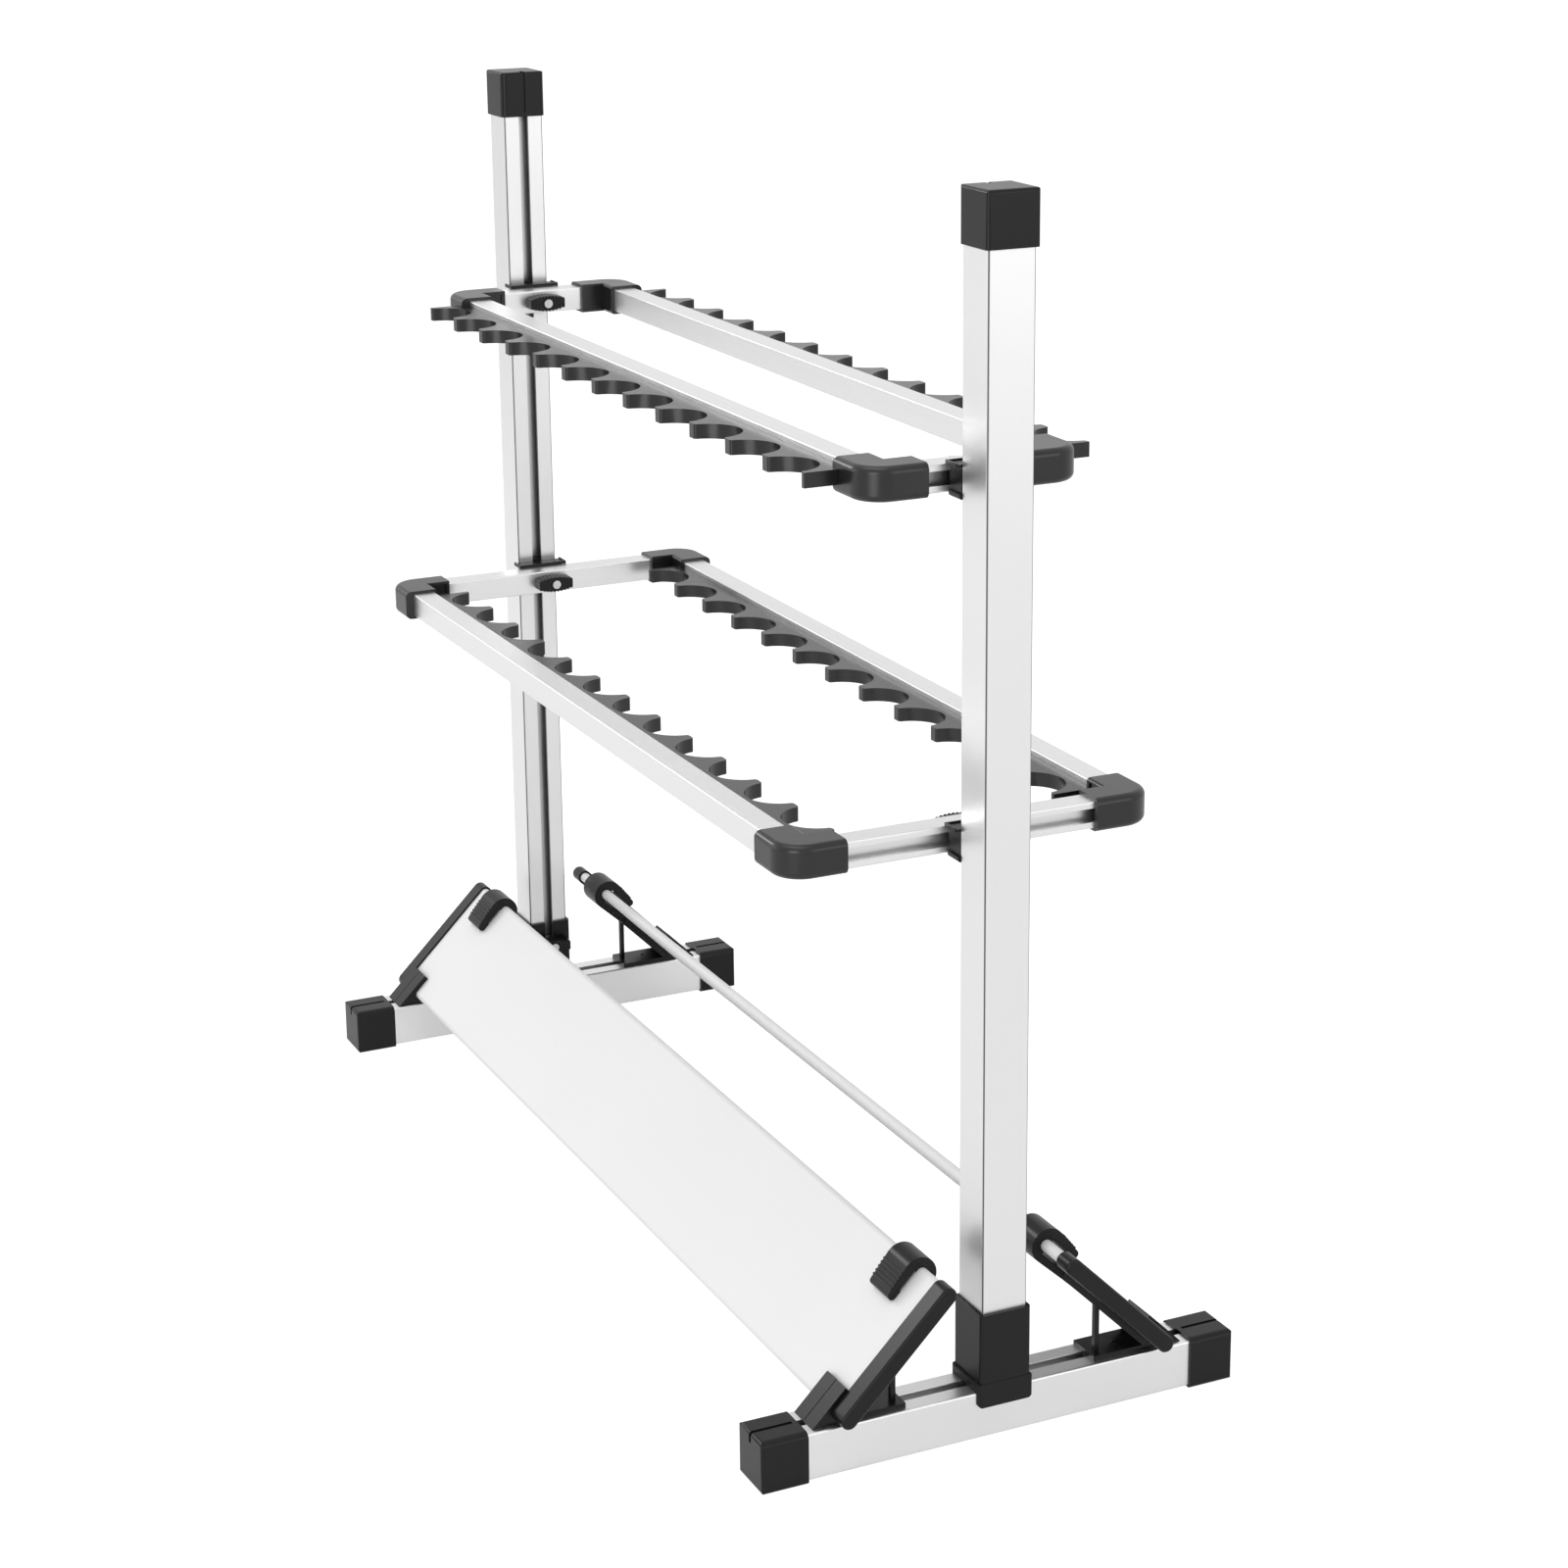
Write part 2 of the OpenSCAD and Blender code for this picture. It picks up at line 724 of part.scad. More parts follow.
module comb(rack, end) {
    tongue_w = bar_slot_open - 2 * slide_fit;
    color(BLACK)
    placed(RIGHT, end)
    translate([0, rail_face(rack), level(rack)])
    mirror([0, points_out(rack) ? 0 : 1, 0]) {
        linear_extrude(comb_thick, center = true) comb_outline(rack);
        translate([-tongue_end, -tongue_depth, -tongue_w / 2])
            cube([2 * tongue_end, tongue_depth + cut, tongue_w]);
    }
}

// Spacer between a crossbar and the upright, with a guide lug in the upright's slot, a key in
// the crossbar's slot, and a shallow tray in its top plate
module spacer(rack, side) {
    rise = bar_size / 2 + spacer_rise;
    lug_w = slot_open - 2 * slide_fit;
    key_h = bar_slot_open - 2 * slide_fit;
    color(BLACK)
    placed(side)
    translate([0, 0, level(rack)])
    difference() {
        union() {
            along_x(crossbar_out, post_in) {
                square([post_size, 2 * rise], center = true);
                translate([-spacer_width / 2, rise - spacer_plate]) square([spacer_width, spacer_plate]);
                translate([0, spacer_foot / 2 - rise])
                    round_rect(spacer_foot_width, spacer_foot, plate_edge, spacer_foot_round);
            }
            translate([crossbar_out - key_depth, -post_size / 2, -key_h / 2])
                cube([key_depth + cut, post_size, key_h]);
            translate([post_in - cut, -lug_w / 2, -lug_height / 2])
                cube([lug_depth + cut, lug_w, lug_height]);
        }
        translate([crossbar_out + spacer_rim, spacer_rim - spacer_width / 2, rise - spacer_dish])
            cube([spacer_depth - spacer_rim, spacer_width - 2 * spacer_rim, spacer_dish + cut]);
        translate([crossbar_out - key_depth - cut, 0, 0])
        rotate([0, 90, 0])
            cylinder(h = key_depth + spacer_depth + lug_depth + 2 * cut, r = hole_r);
    }
}

module clamp_bolts(rack) {
    color(STEEL)
    for (side = [LEFT, RIGHT])
        placed(side) translate([0, 0, level(rack)]) clamp_bolt(crossbar_in);
}

module rack_knob(rack, side) {
    color(BLACK)
    placed(side)
    translate([0, 0, level(rack)])
        hand_knob(crossbar_in);
}

// Takes a section in n and s, or a solid on it, to the rear tray, starting at x0
module on_tray(x0) {
    translate([x0, 0, 0])
    rotate([90, 0, 90])
    translate([tray_y, tray_z, 0])
    rotate(90 - tray_tilt)
        children();
}

// Section of the panel's outline, r out from its middle line
module panel_outline(r) {
    square([2 * r, panel_span], center = true);
    for (edge = [-1, 1])
        translate([0, edge * panel_half]) circle(r);
}

// The two ribs inside the panel, each w thick
module panel_ribs(w) {
    for (rib = [-1, 1])
        translate([0, rib * rib_span / 2]) square([panel_thick, w], center = true);
}

// Trays
module tray_panel(end) {
    color(PALE)
    placed(RIGHT, end)
    on_tray(-panel_end)
    linear_extrude(2 * panel_end)
    difference() {
        panel_outline(panel_thick / 2);
        difference() {
            panel_outline(panel_thick / 2 - panel_wall);
            panel_ribs(panel_wall);
        }
    }
}

module tray_cap(side, end) {
    cap_r = tray_cap_thick / 2;
    color(BLACK)
    placed(side, end) {
        on_tray(panel_end) {
            for (edge = [-1, 1])
                translate([0, edge * panel_half, tray_cap_length])
                rotate_extrude()
                intersection() {
                    round_end(tray_cap_thick, tray_cap_length, tray_cap_edge);
                    translate([0, -tray_cap_length]) square([cap_r, tray_cap_length]);
                }
            translate([0, panel_half, tray_cap_length])
            rotate([90, 0, 0])
            linear_extrude(panel_span)
                round_end(tray_cap_thick, tray_cap_length, tray_cap_edge);
        }
        on_tray(panel_end - plug_length)
        linear_extrude(plug_length + cut)
        difference() {
            panel_outline(panel_thick / 2 - panel_wall - cap_fit);
            panel_ribs(panel_wall + 2 * cap_fit);
        }
    }
}

// Side view of a bracket's arm, block and hook, in n and s
module arm_section() {
    difference() {
        union() {
            translate([-arm_n, -panel_half - far]) square([arm_n, panel_half + far + head_s]);
            translate([-arm_n, -panel_half - far])
                square([arm_n + seat_n + block_thick, far + block_height]);
            translate([head_raise, head_s]) circle(head_r);
            polygon([[-arm_n, head_s / 3], [0, head_s / 3], [0, head_s], [head_raise - head_r, head_s]]);
            lip_section();
        }
        panel_outline(seat_n);
        for (flip = [0, 1])
            mirror([flip, 0])
            translate([0, head_s * 2 / 3]) square([seat_n + relief_depth, head_s / 3]);
    }
}

// Side view of the hook's lip, in n and s, with its grip ribs
module lip_section() {
    rib_start = lip_s + lip_tip / 2;
    rib_pitch = (head_s - rib_start) / (lip_ribs + 1);
    slope = (head_top - seat_n - lip_tip) / (head_s - lip_s);
    translate([seat_n + lip_tip / 2, lip_s]) circle(lip_tip / 2);
    polygon([
        [seat_n, lip_s], [seat_n + lip_tip, lip_s], [head_top, head_s], [seat_n, head_s]
    ]);
    for (i = [0 : lip_ribs - 1])
        let (s = rib_start + i * rib_pitch)
            translate([seat_n + lip_tip + slope * (s - lip_s), s]) circle(lip_rib_r, $fn = 24);
}

// Plan of a bracket in x and s: the hook is set in from the base by a slanted length of arm
module arm_plan() {
    polygon([
        [bracket_in, -panel_half - far], [bracket_out, -panel_half - far],
        [bracket_out, jog_start], [bracket_out - hook_offset, jog_start + jog_length],
        [bracket_out - hook_offset, panel_half + far],
        [bracket_out - hook_offset - hook_width, panel_half + far],
        [bracket_out - hook_offset - hook_width, jog_start + jog_length], [bracket_in, jog_start]
    ]);
}

// Height of the line n, square to the panel, where it crosses y
function tray_line_z(n, y) =
    tray_z + n * cos(tray_tilt) + tan(tray_tilt) * (tray_y + n * sin(tray_tilt) - y);

module tray_bracket(side, end) {
    lug_w = slot_open - 2 * slide_fit;
    arm_mid = -seat_n - arm_thick / 2;
    strut_out = strut_in + strut_depth;
    color(BLACK)
    placed(side, end)
    difference() {
        union() {
            intersection() {
                on_tray(bracket_in - far) linear_extrude(bracket_width + 2 * far) arm_section();
                translate([0, tray_y, tray_z])
                rotate([90 + tray_tilt, 0, 0])
                linear_extrude(2 * far, center = true)
                    arm_plan();
                translate([0, 0, foot_top]) cube([2 * panel_end, foot_length, 4 * far]);
            }
            translate([bracket_in, plate_in, foot_top])
                cube([bracket_width, plate_out - plate_in, plate_thick]);
            translate([post_x - lug_w / 2, plate_in, foot_top - lug_depth])
                cube([lug_w, plate_out - plate_in, lug_depth + cut]);
            along_x(strut_x - strut_width / 2, strut_x + strut_width / 2)
                polygon([
                    [strut_in, foot_top], [strut_out, foot_top],
                    [strut_out, tray_line_z(arm_mid, strut_out)],
                    [strut_in, tray_line_z(arm_mid, strut_in)]
                ]);
        }
        on_tray(bracket_in - cut) linear_extrude(bracket_width + 2 * cut) panel_outline(seat_n);
        on_tray(bracket_in + (bracket_width - block_groove) / 2)
        linear_extrude(block_groove)
        translate([seat_n + block_thick - block_groove, -panel_half - far])
            square([block_groove + cut, far + block_height + cut]);
        translate([post_x, screw_y, foot_top - lug_depth - cut])
            cylinder(h = plate_thick + lug_depth + 2 * cut, r = hole_r);
        translate([post_x, screw_y, plate_top - low_head])
            cylinder(h = low_head + cut, r = screw_head_r + slide_fit);
    }
}

module bracket_screws(end) {
    color(STEEL)
    for (side = [LEFT, RIGHT])
        placed(side, end)
        translate([post_x, screw_y, 0])
            slot_screw(plate_top - low_head, low_head);
}

base_rail(LEFT);  // base_rail_left
base_rail(RIGHT);  // base_rail_right
base_cap(LEFT, FRONT);  // base_cap_front_left
base_cap(RIGHT, FRONT);  // base_cap_front_right
base_cap(LEFT, REAR);  // base_cap_rear_left
base_cap(RIGHT, REAR);  // base_cap_rear_right
post_socket(LEFT);  // post_socket_left
post_socket(RIGHT);  // post_socket_right
socket_screws();
socket_bolts();
socket_knob(LEFT);  // socket_knob_left
socket_knob(RIGHT);  // socket_knob_right
upright(LEFT);  // upright_left
upright(RIGHT);  // upright_right
upright_cap(LEFT);  // upright_cap_left
upright_cap(RIGHT);  // upright_cap_right
rail(UPPER, FRONT);  // upper_rail_front
rail(UPPER, REAR);  // upper_rail_rear
crossbar(UPPER, LEFT);  // upper_crossbar_left
crossbar(UPPER, RIGHT);  // upper_crossbar_right
corner(UPPER, LEFT, FRONT);  // upper_corner_front_left
corner(UPPER, RIGHT, FRONT);  // upper_corner_front_right
corner(UPPER, LEFT, REAR);  // upper_corner_rear_left
corner(UPPER, RIGHT, REAR);  // upper_corner_rear_right
comb(UPPER, FRONT);  // upper_comb_front
comb(UPPER, REAR);  // upper_comb_rear
spacer(UPPER, LEFT);  // upper_spacer_left
spacer(UPPER, RIGHT);  // upper_spacer_right
clamp_bolts(UPPER);  // upper_clamp_bolts
rack_knob(UPPER, LEFT);  // upper_knob_left
rack_knob(UPPER, RIGHT);  // upper_knob_right
rail(MIDDLE, FRONT);  // middle_rail_front
rail(MIDDLE, REAR);  // middle_rail_rear
crossbar(MIDDLE, LEFT);  // middle_crossbar_left
crossbar(MIDDLE, RIGHT);  // middle_crossbar_right
corner(MIDDLE, LEFT, FRONT);  // middle_corner_front_left
corner(MIDDLE, RIGHT, FRONT);  // middle_corner_front_right
corner(MIDDLE, LEFT, REAR);  // middle_corner_rear_left
corner(MIDDLE, RIGHT, REAR);  // middle_corner_rear_right
comb(MIDDLE, FRONT);  // middle_comb_front
comb(MIDDLE, REAR);  // middle_comb_rear
spacer(MIDDLE, LEFT);  // middle_spacer_left
spacer(MIDDLE, RIGHT);  // middle_spacer_right
clamp_bolts(MIDDLE);  // middle_clamp_bolts
rack_knob(MIDDLE, LEFT);  // middle_knob_left
rack_knob(MIDDLE, RIGHT);  // middle_knob_right
tray_panel(FRONT);  // tray_panel_front
tray_panel(REAR);  // tray_panel_rear
tray_cap(LEFT, FRONT);  // tray_cap_front_left
tray_cap(RIGHT, FRONT);  // tray_cap_front_right
tray_cap(LEFT, REAR);  // tray_cap_rear_left
tray_cap(RIGHT, REAR);  // tray_cap_rear_right
tray_bracket(LEFT, FRONT);  // tray_bracket_front_left
tray_bracket(RIGHT, FRONT);  // tray_bracket_front_right
tray_bracket(LEFT, REAR);  // tray_bracket_rear_left
tray_bracket(RIGHT, REAR);  // tray_bracket_rear_right
bracket_screws(FRONT);  // bracket_screws_front
bracket_screws(REAR);  // bracket_screws_rear
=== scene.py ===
"""Rod rack: two slotted aluminium uprights on slotted feet, an upper and a wider middle rack with
notched combs for the rods, and two tilted trays for the rod butts.

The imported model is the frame. Every piece keeps its CAD shape; this script gives the pieces their
broken edges and their finishes, and sets up the studio and the camera. Metres, +X to the right
end, +Y to the rear, +Z up, origin on the floor under the middle.
"""

import math

import bpy
from mathutils import Matrix, Vector

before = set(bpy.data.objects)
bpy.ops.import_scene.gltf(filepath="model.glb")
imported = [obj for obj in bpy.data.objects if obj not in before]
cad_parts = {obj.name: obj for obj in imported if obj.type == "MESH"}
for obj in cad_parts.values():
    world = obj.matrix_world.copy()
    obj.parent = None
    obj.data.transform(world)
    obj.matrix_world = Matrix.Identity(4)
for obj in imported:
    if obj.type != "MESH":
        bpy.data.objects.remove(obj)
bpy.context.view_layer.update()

MM = 0.001

# The photograph's square frame, where the lens axis meets it, and the focal length, in pixels
PHOTO_SIDE = 1600
AXIS_PX = (848, 660)
FOCAL_PX = 3367.7
# The camera's place in metres, and its turn anticlockwise from +Y, its dip and its roll in degrees
CAMERA_PLACE = Vector((1.8308, -0.8106, 0.9189))
CAMERA_TURN = 64.27
CAMERA_DIP = 15.346
CAMERA_ROLL = -0.404
# Sensor width in millimetres, and how far the camera sees in metres
SENSOR = 36
FAR_CLIP = 40

# Finishes: colours are linear
ANODISED = (0.83, 0.83, 0.83)
PALE_ANODISED = (0.86, 0.86, 0.86)
# Painted shade: the dark line on the uprights' rounded long corners
PAINTED_CORNER_SHADE = (0.09, 0.09, 0.09)
CHARCOAL = (0.008, 0.008, 0.008)
CONNECTOR_BLACK = (0.009, 0.009, 0.009)
STEEL = (0.63, 0.63, 0.63)
DARK_STEEL = (0.05, 0.05, 0.05)

# The range that most of a noise's values fill
NOISE_RANGE = (0.3, 0.7)
# Noise scales, per metre: along a die line, and for the mottle of drawn metal, the sheen of
# mouldings, the turning marks and the stain of steel
ALONG_LINES = 2
MOTTLE_SCALE = (9, 9, 9)
SHEEN_SCALE = (18, 18, 18)
TURNING_SCALE = (3500, 600, 600)
STAIN_SCALE = (160, 160, 160)
# How far die lines, grain and stain darken or lighten a colour
LINE_TONES = (0.985, 1.0)
GRAIN_TONES = (0.9, 1.1)
STAIN_TONES = (0.85, 1.1)
# How far roughness strays on drawn metal and on mouldings, and its ends on steel
METAL_SPREAD = 0.02
PLASTIC_SPREAD = 0.015
STEEL_ROUGHNESS = (0.22, 0.36)
PLASTIC_IOR = 1.5
# How far off another surface still darkens a recess with painted shade, in how many tries that is
# found, and how open a place is that is darkened in full and one that isn't darkened
RECESS_REACH = 14 * MM
RECESS_TRIES = 8
RECESS_OPENNESS = (0.2, 0.75)
# |Nx Ny| where the painted dark line on an upright's rounded long corner starts, and where it is full
CORNER_FACING = (0.28, 0.42)
# Height of the die lines and of the turning marks, and how strongly reliefs show
DIE_LINE_DEPTH = 0.004 * MM
TURNING_DEPTH = 0.01 * MM
RELIEF = 0.3
TURNING_RELIEF = 0.4

# Broken edges: what counts as an edge, the rings across it, and how near doubled corners lie
EDGE_ANGLE = math.radians(35)
EDGE_SEGMENTS = 2
WELD_DISTANCE = 0.001 * MM

# The floor's half width in metres, its own grey, the grey that is seen of it, and its glow there
FLOOR_REACH = 12
FLOOR_GREY = (0.8, 0.8, 0.8, 1)
FLOOR_SEEN_GREY = (0.35, 0.35, 0.35, 1)
FLOOR_GLOW = 0.9
# The white surroundings: how strongly they light, and how strongly they are seen
AMBIENT = 0.56
SEEN_WHITE = 1.0
WHITE = (1, 1, 1, 1)
# How much of the seen floor and the seen surroundings shows in reflections
FLOOR_GLOSS = 0.5
WORLD_GLOSS = 0.8

# Lamps: place, the point each lights towards, width and height in metres, and watts. A large box
# overhead gives the plain light, and smaller ones draw the highlights on sloped faces and corners.
LAMPS = [
    ("overhead", (0.2, -0.5, 3.2), (0, 0, 0.3), (2.4, 2.0), 22),
    ("left_front_box", (-2.35, -1.35, 1.55), (0, 0, 0.3), (0.45, 0.75), 11),
    ("front_box", (-1.3, -2.3, 0.9), (0, 0, 0.5), (1.5, 1.5), 6),
    ("right_rear_box", (3.1, 1.5, 1.1), (0.35, 0, 0.98), (1.0, 1.6), 8),
    ("right_front_box", (1.7, -1.6, 0.72), (0.2, -0.05, 0.72), (0.95, 1.4), 12),
]


def add(tree, kind, **values):
    """Adds a shader node and sets its properties, or its sockets where a value names one."""
    node = tree.nodes.new(kind)
    for name, value in values.items():
        socket = name.replace("_", " ")
        if socket in node.inputs:
            node.inputs[socket].default_value = value
        else:
            setattr(node, name, value)
    return node


def empty_tree(owner, output_kind):
    """Clears the nodes of a material or world; returns its tree and the output's surface socket."""
    owner.use_nodes = True
    tree = owner.node_tree
    tree.nodes.clear()
    return tree, add(tree, output_kind).inputs["Surface"]


def new_material(name):
    """A material with one Principled shader; returns it with its tree and that shader."""
    material = bpy.data.materials.new(name)
    tree, surface = empty_tree(material, "ShaderNodeOutputMaterial")
    shader = add(tree, "ShaderNodeBsdfPrincipled")
    tree.links.new(shader.outputs["BSDF"], surface)
    return material, tree, shader


def stretched_noise(tree, scale, detail=3.0, roughness=0.55):
    """Noise in the object's own space, with its own scale along each axis."""
    place = add(tree, "ShaderNodeTexCoord")
    stretch = add(tree, "ShaderNodeMapping")
    stretch.inputs["Scale"].default_value = scale
    noise = add(tree, "ShaderNodeTexNoise", Scale=1.0, Detail=detail, Roughness=roughness)
    tree.links.new(place.outputs["Object"], stretch.inputs["Vector"])
    tree.links.new(stretch.outputs["Vector"], noise.inputs["Vector"])
    return noise.outputs["Fac"]


def mapped(tree, value, low, high, span=(0.0, 1.0)):
    """Maps a value from a span to low..high."""
    node = add(tree, "ShaderNodeMapRange")
    node.inputs["From Min"].default_value = span[0]
    node.inputs["From Max"].default_value = span[1]
    node.inputs["To Min"].default_value = low
    node.inputs["To Max"].default_value = high
    tree.links.new(value, node.inputs["Value"])
    return node.outputs["Result"]


def blended(tree, value, dark, pale):
    """A colour between two, by a value from 0 to 1."""
    node = add(tree, "ShaderNodeMix", data_type="RGBA")
    node.inputs["A"].default_value = (*dark, 1)
    node.inputs["B"].default_value = (*pale, 1)
    tree.links.new(value, node.inputs["Factor"])
    return node.outputs["Result"]


def toned(tree, value, colour, tones):
    """A colour made darker or lighter, between two tones, by a value from 0 to 1."""
    dark, pale = (tuple(c * tone for c in colour) for tone in tones)
    return blended(tree, value, dark, pale)


def bumped(tree, shader, height, distance, strength):
    """Puts a relief on the shader's normal, with its height in metres."""
    bump = add(tree, "ShaderNodeBump")
    bump.inputs["Distance"].default_value = distance
    bump.inputs["Strength"].default_value = strength
    tree.links.new(height, bump.inputs["Height"])
    tree.links.new(bump.outputs["Normal"], shader.inputs["Normal"])


def painted_recess_shade(tree, colour, share):
    """Painted shade: keeps a colour on open faces and takes it down to a share in slots, tight
    corners and next to other parts, where little light gets in."""
    hollow = add(tree, "ShaderNodeAmbientOcclusion", samples=RECESS_TRIES, Distance=RECESS_REACH)
    openness = mapped(tree, hollow.outputs["AO"], 0.0, 1.0, RECESS_OPENNESS)
    node = add(tree, "ShaderNodeMix", data_type="RGBA", blend_type="MULTIPLY")
    node.inputs["Factor"].default_value = 1
    tree.links.new(colour, node.inputs["A"])
    tree.links.new(blended(tree, openness, (share,) * 3, (1, 1, 1)), node.inputs["B"])
    return node.outputs["Result"]


def rounded_corner(tree):
    """1 on an upright's rounded long corners, where the surface faces between X and Y, else 0."""
    facing = add(tree, "ShaderNodeNewGeometry")
    axes = add(tree, "ShaderNodeSeparateXYZ")
    product = add(tree, "ShaderNodeMath", operation="MULTIPLY")
    size = add(tree, "ShaderNodeMath", operation="ABSOLUTE")
    tree.links.new(facing.outputs["Normal"], axes.inputs["Vector"])
    tree.links.new(axes.outputs["X"], product.inputs[0])
    tree.links.new(axes.outputs["Y"], product.inputs[1])
    tree.links.new(product.outputs["Value"], size.inputs[0])
    return mapped(tree, size.outputs["Value"], 0.0, 1.0, CORNER_FACING)


def drawn_metal(name, colour, along, roughness, recess_shade, metallic=1.0, across=2600,
                painted_corner_shade=False):
    """Extruded, anodised aluminium: fine die lines along one axis over a faint mottle, and painted
    shade that takes its colour down to a share in recesses. The corner option adds a fine dark line
    of painted shade on the rounded long edges."""
    material, tree, shader = new_material(name)
    line_scale = [across, across, across]
    line_scale[along] = ALONG_LINES
    lines = stretched_noise(tree, line_scale, detail=3, roughness=0.5)
    mottle = stretched_noise(tree, MOTTLE_SCALE, detail=2)
    line_value = mapped(tree, lines, 0.0, 1.0, NOISE_RANGE)
    finish = toned(tree, line_value, colour, LINE_TONES)
    low, high = roughness - METAL_SPREAD, roughness + METAL_SPREAD
    rough_lines = mapped(tree, lines, low, high, NOISE_RANGE)
    rough_mottle = mapped(tree, mottle, -METAL_SPREAD, METAL_SPREAD, NOISE_RANGE)
    total = add(tree, "ShaderNodeMath", operation="ADD")
    tree.links.new(rough_lines, total.inputs[0])
    tree.links.new(rough_mottle, total.inputs[1])
    tree.links.new(total.outputs["Value"], shader.inputs["Roughness"])
    # Painted shade: the colour is darkened in slots, tight corners and next to other parts
    finish = painted_recess_shade(tree, finish, recess_shade)
    shader.inputs["Metallic"].default_value = metallic
    # Painted shade: a dark, non-metal line on the rounded long corners stands in for the dark
    # reflection there
    if painted_corner_shade:
        corner = rounded_corner(tree)
        node = add(tree, "ShaderNodeMix", data_type="RGBA")
        node.inputs["B"].default_value = (*PAINTED_CORNER_SHADE, 1)
        tree.links.new(corner, node.inputs["Factor"])
        tree.links.new(finish, node.inputs["A"])
        finish = node.outputs["Result"]
        tree.links.new(mapped(tree, corner, metallic, 0.0), shader.inputs["Metallic"])
    tree.links.new(finish, shader.inputs["Base Color"])
    bumped(tree, shader, lines, DIE_LINE_DEPTH, RELIEF)
    return material


def moulded_plastic(name, colour, roughness, grain, grain_depth, gloss):
    """Injection-moulded plastic: fine eroded grain, and a sheen that varies a little."""
    material, tree, shader = new_material(name)
    fine = stretched_noise(tree, (grain, grain, grain), detail=2, roughness=0.5)
    sheen = stretched_noise(tree, SHEEN_SCALE, detail=2)
    fine_value = mapped(tree, fine, 0.0, 1.0, NOISE_RANGE)
    finish = toned(tree, fine_value, colour, GRAIN_TONES)
    low, high = roughness - PLASTIC_SPREAD, roughness + PLASTIC_SPREAD
    rough = mapped(tree, sheen, low, high, NOISE_RANGE)
    tree.links.new(finish, shader.inputs["Base Color"])
    tree.links.new(rough, shader.inputs["Roughness"])
    shader.inputs["IOR"].default_value = PLASTIC_IOR
    shader.inputs["Specular IOR Level"].default_value = gloss
    bumped(tree, shader, fine, grain_depth, RELIEF)
    return material


def turned_steel(name, colour):
    """Plated steel with fine turning marks and a little stain."""
    material, tree, shader = new_material(name)
    marks = stretched_noise(tree, TURNING_SCALE, detail=3)
    stain = stretched_noise(tree, STAIN_SCALE, detail=4)
    stain_value = mapped(tree, stain, 0.0, 1.0, NOISE_RANGE)
    finish = toned(tree, stain_value, colour, STAIN_TONES)
    rough = mapped(tree, marks, *STEEL_ROUGHNESS, NOISE_RANGE)
    tree.links.new(finish, shader.inputs["Base Color"])
    tree.links.new(rough, shader.inputs["Roughness"])
    shader.inputs["Metallic"].default_value = 1.0
    bumped(tree, shader, marks, TURNING_DEPTH, TURNING_RELIEF)
    return material


# The axis that the die lines run along
X, Y, Z = range(3)

# recess: the share of the colour that is left where painted shade darkens recesses
ALUMINIUM_X = drawn_metal("aluminium_along_x", ANODISED, X, roughness=0.36, recess_shade=0.4)
ALUMINIUM_Y = drawn_metal("aluminium_along_y", ANODISED, Y, roughness=0.34, recess_shade=0.85)
SHORT_BAR = drawn_metal("aluminium_short_bar", ANODISED, Y, roughness=0.34, recess_shade=0.5)
ALUMINIUM_Z = drawn_metal("aluminium_along_z", ANODISED, Z, roughness=0.36, recess_shade=0.4,
                          painted_corner_shade=True)
PANEL = drawn_metal("tray_aluminium", PALE_ANODISED, X, roughness=0.66, recess_shade=0.6,
                    metallic=0.2, across=1800)
PLASTIC = moulded_plastic("moulded_charcoal", CHARCOAL, roughness=0.30, grain=2600,
                          grain_depth=0.02 * MM, gloss=0.24)
COMB = moulded_plastic("comb_charcoal", CHARCOAL, roughness=0.24, grain=3000,
                       grain_depth=0.01 * MM, gloss=0.5)
CONNECTOR = moulded_plastic("connector_charcoal", CONNECTOR_BLACK, roughness=0.29, grain=3200,
                            grain_depth=0.01 * MM, gloss=0.5)
BOLT = turned_steel("plated_steel", STEEL)
DARK_BOLT = turned_steel("blackened_steel", DARK_STEEL)

# What each node is made of, by the start of its name
FINISHES = [
    ("base_rail", ALUMINIUM_Y),
    ("upright_cap", PLASTIC),
    ("upright", ALUMINIUM_Z),
    ("upper_rail", ALUMINIUM_X),
    ("middle_rail", ALUMINIUM_X),
    ("upper_crossbar", SHORT_BAR),
    ("middle_crossbar", ALUMINIUM_Y),
    ("upper_corner", CONNECTOR),
    ("middle_corner", CONNECTOR),
    ("upper_comb", COMB),
    ("middle_comb", COMB),
    ("tray_panel", PANEL),
    ("socket_screws", BOLT),
    ("socket_bolts", BOLT),
    ("upper_clamp_bolts", BOLT),
    ("middle_clamp_bolts", BOLT),
    ("bracket_screws", DARK_BOLT),
    ("", PLASTIC),
]

# Width of the broken edges, by the start of the node's name
EDGES = [
    ("base_rail", 0.20 * MM),
    ("upright_cap", 0.45 * MM),
    ("upright", 0.20 * MM),
    ("upper_rail", 0.18 * MM),
    ("middle_rail", 0.18 * MM),
    ("upper_crossbar", 0.18 * MM),
    ("middle_crossbar", 0.18 * MM),
    ("tray_panel", 0.15 * MM),
    ("socket_knob", 0.22 * MM),
    ("upper_knob", 0.22 * MM),
    ("middle_knob", 0.22 * MM),
    ("socket_", 0.20 * MM),
    ("upper_clamp", 0.20 * MM),
    ("middle_clamp", 0.20 * MM),
    ("bracket_screws", 0.20 * MM),
    ("", 0.45 * MM),
]


def by_name(table, name):
    """The first entry of a table whose key starts the name."""
    return next(value for key, value in table if name.startswith(key))


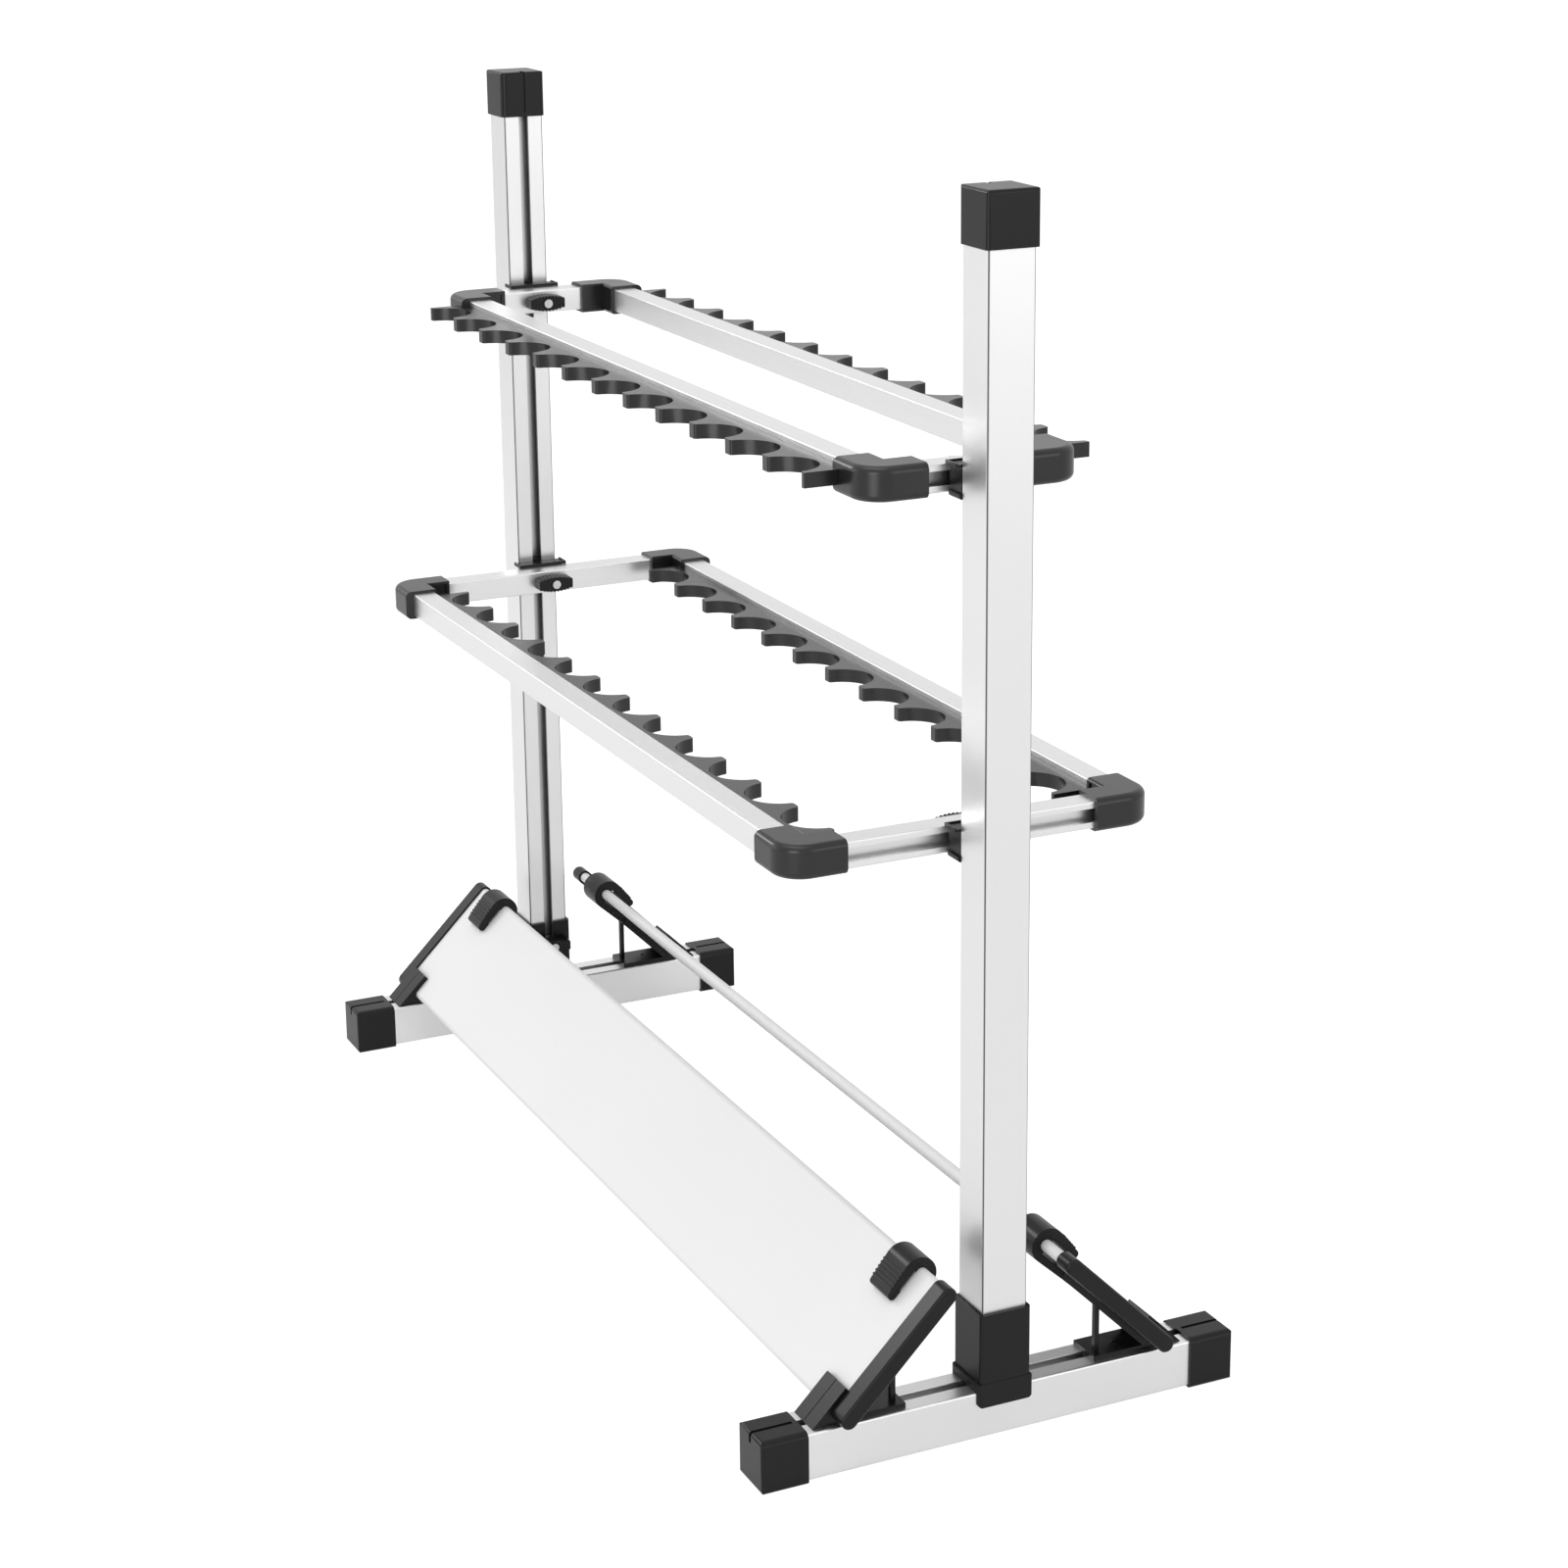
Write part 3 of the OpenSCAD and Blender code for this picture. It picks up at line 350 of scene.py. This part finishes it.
def dress(obj):
    """Gives a CAD node its finish and breaks its sharp edges, without touching its mesh."""
    obj.data.materials.clear()
    obj.data.materials.append(by_name(FINISHES, obj.name))
    weld = obj.modifiers.new("weld", "WELD")
    weld.merge_threshold = WELD_DISTANCE
    bevel = obj.modifiers.new("broken_edges", "BEVEL")
    bevel.width = by_name(EDGES, obj.name)
    bevel.segments = EDGE_SEGMENTS
    bevel.limit_method = "ANGLE"
    bevel.angle_limit = EDGE_ANGLE
    bevel.use_clamp_overlap = True
    bevel.harden_normals = True
    shading = obj.modifiers.new("even_shading", "WEIGHTED_NORMAL")
    shading.mode = "FACE_AREA"
    shading.keep_sharp = True


def seen_rays(tree, glossy_share):
    """1 for rays from the camera or by way of glass, and a share for those by way of metal."""
    path = add(tree, "ShaderNodeLightPath")
    glossy = add(tree, "ShaderNodeMath", operation="MULTIPLY")
    glossy.inputs[1].default_value = glossy_share
    first = add(tree, "ShaderNodeMath", operation="MAXIMUM")
    second = add(tree, "ShaderNodeMath", operation="MAXIMUM")
    tree.links.new(path.outputs["Is Glossy Ray"], glossy.inputs[0])
    tree.links.new(path.outputs["Is Camera Ray"], first.inputs[0])
    tree.links.new(glossy.outputs["Value"], first.inputs[1])
    tree.links.new(first.outputs["Value"], second.inputs[0])
    tree.links.new(path.outputs["Is Transmission Ray"], second.inputs[1])
    return second.outputs["Value"]


def shown_where_seen(tree, glossy_share, plain, seen, surface):
    """Puts one shader on a surface for the light that it gives, and another where it is seen."""
    choose = add(tree, "ShaderNodeMixShader")
    tree.links.new(seen_rays(tree, glossy_share), choose.inputs["Fac"])
    tree.links.new(plain, choose.inputs[1])
    tree.links.new(seen, choose.inputs[2])
    tree.links.new(choose.outputs["Shader"], surface)


def floor():
    """A seamless floor. Where it is seen, a glow lifts it to white and a matt share keeps the
    object's shadow. The light that it throws back comes from its plain pale grey."""
    mesh = bpy.data.meshes.new("studio_floor")
    mesh.from_pydata([(x * FLOOR_REACH, y * FLOOR_REACH, 0)
                      for x, y in ((-1, -1), (1, -1), (1, 1), (-1, 1))], [], [(0, 1, 2, 3)])
    obj = bpy.data.objects.new("studio_floor", mesh)
    bpy.context.scene.collection.objects.link(obj)
    material = bpy.data.materials.new("studio_floor")
    tree, surface = empty_tree(material, "ShaderNodeOutputMaterial")
    plain = add(tree, "ShaderNodeBsdfDiffuse", Color=FLOOR_GREY)
    matt = add(tree, "ShaderNodeBsdfDiffuse", Color=FLOOR_SEEN_GREY)
    glow = add(tree, "ShaderNodeEmission", Color=WHITE, Strength=FLOOR_GLOW)
    seen = add(tree, "ShaderNodeAddShader")
    tree.links.new(matt.outputs["BSDF"], seen.inputs[0])
    tree.links.new(glow.outputs["Emission"], seen.inputs[1])
    shown_where_seen(tree, FLOOR_GLOSS, plain.outputs["BSDF"], seen.outputs["Shader"], surface)
    mesh.materials.append(material)


def studio_world():
    """Plain pale surroundings, white where they are seen."""
    world = bpy.data.worlds.new("studio")
    bpy.context.scene.world = world
    tree, surface = empty_tree(world, "ShaderNodeOutputWorld")
    ambient = add(tree, "ShaderNodeBackground", Color=WHITE, Strength=AMBIENT)
    seen = add(tree, "ShaderNodeBackground", Color=WHITE, Strength=SEEN_WHITE)
    shown_where_seen(tree, WORLD_GLOSS, ambient.outputs["Background"], seen.outputs["Background"],
                     surface)


def softbox(name, place, target, size, watts):
    """A rectangular lamp that lights towards a point. The camera doesn't see the lamp itself, but
    the finishes reflect it."""
    lamp = bpy.data.lights.new(name, "AREA")
    lamp.shape = "RECTANGLE"
    lamp.size, lamp.size_y = size
    lamp.energy = watts
    obj = bpy.data.objects.new(name, lamp)
    obj.location = place
    obj.rotation_euler = (Vector(target) - obj.location).to_track_quat("-Z", "Y").to_euler()
    obj.visible_camera = False
    bpy.context.scene.collection.objects.link(obj)


def camera():
    """The photograph's camera: its place, aim, roll and framing."""
    turn, dip, roll = (math.radians(a) for a in (CAMERA_TURN, CAMERA_DIP, CAMERA_ROLL))
    look = Vector((-math.sin(turn) * math.cos(dip), math.cos(turn) * math.cos(dip), -math.sin(dip)))
    right = Vector((math.cos(turn), math.sin(turn), 0))
    up = right.cross(look)
    right, up = (right * math.cos(roll) + up * math.sin(roll),
                 up * math.cos(roll) - right * math.sin(roll))
    data = bpy.data.cameras.new("camera")
    data.sensor_width = SENSOR
    data.lens = FOCAL_PX * SENSOR / PHOTO_SIDE
    data.shift_x = (PHOTO_SIDE / 2 - AXIS_PX[0]) / PHOTO_SIDE
    data.shift_y = (AXIS_PX[1] - PHOTO_SIDE / 2) / PHOTO_SIDE
    data.clip_end = FAR_CLIP
    obj = bpy.data.objects.new("camera", data)
    axes = Matrix((right, up, -look)).transposed()
    obj.matrix_world = Matrix.Translation(CAMERA_PLACE) @ axes.to_4x4()
    bpy.context.scene.collection.objects.link(obj)
    bpy.context.scene.camera = obj


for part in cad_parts.values():
    dress(part)
floor()
studio_world()
for lamp_facts in LAMPS:
    softbox(*lamp_facts)
camera()
bpy.context.scene.view_settings.view_transform = "Standard"
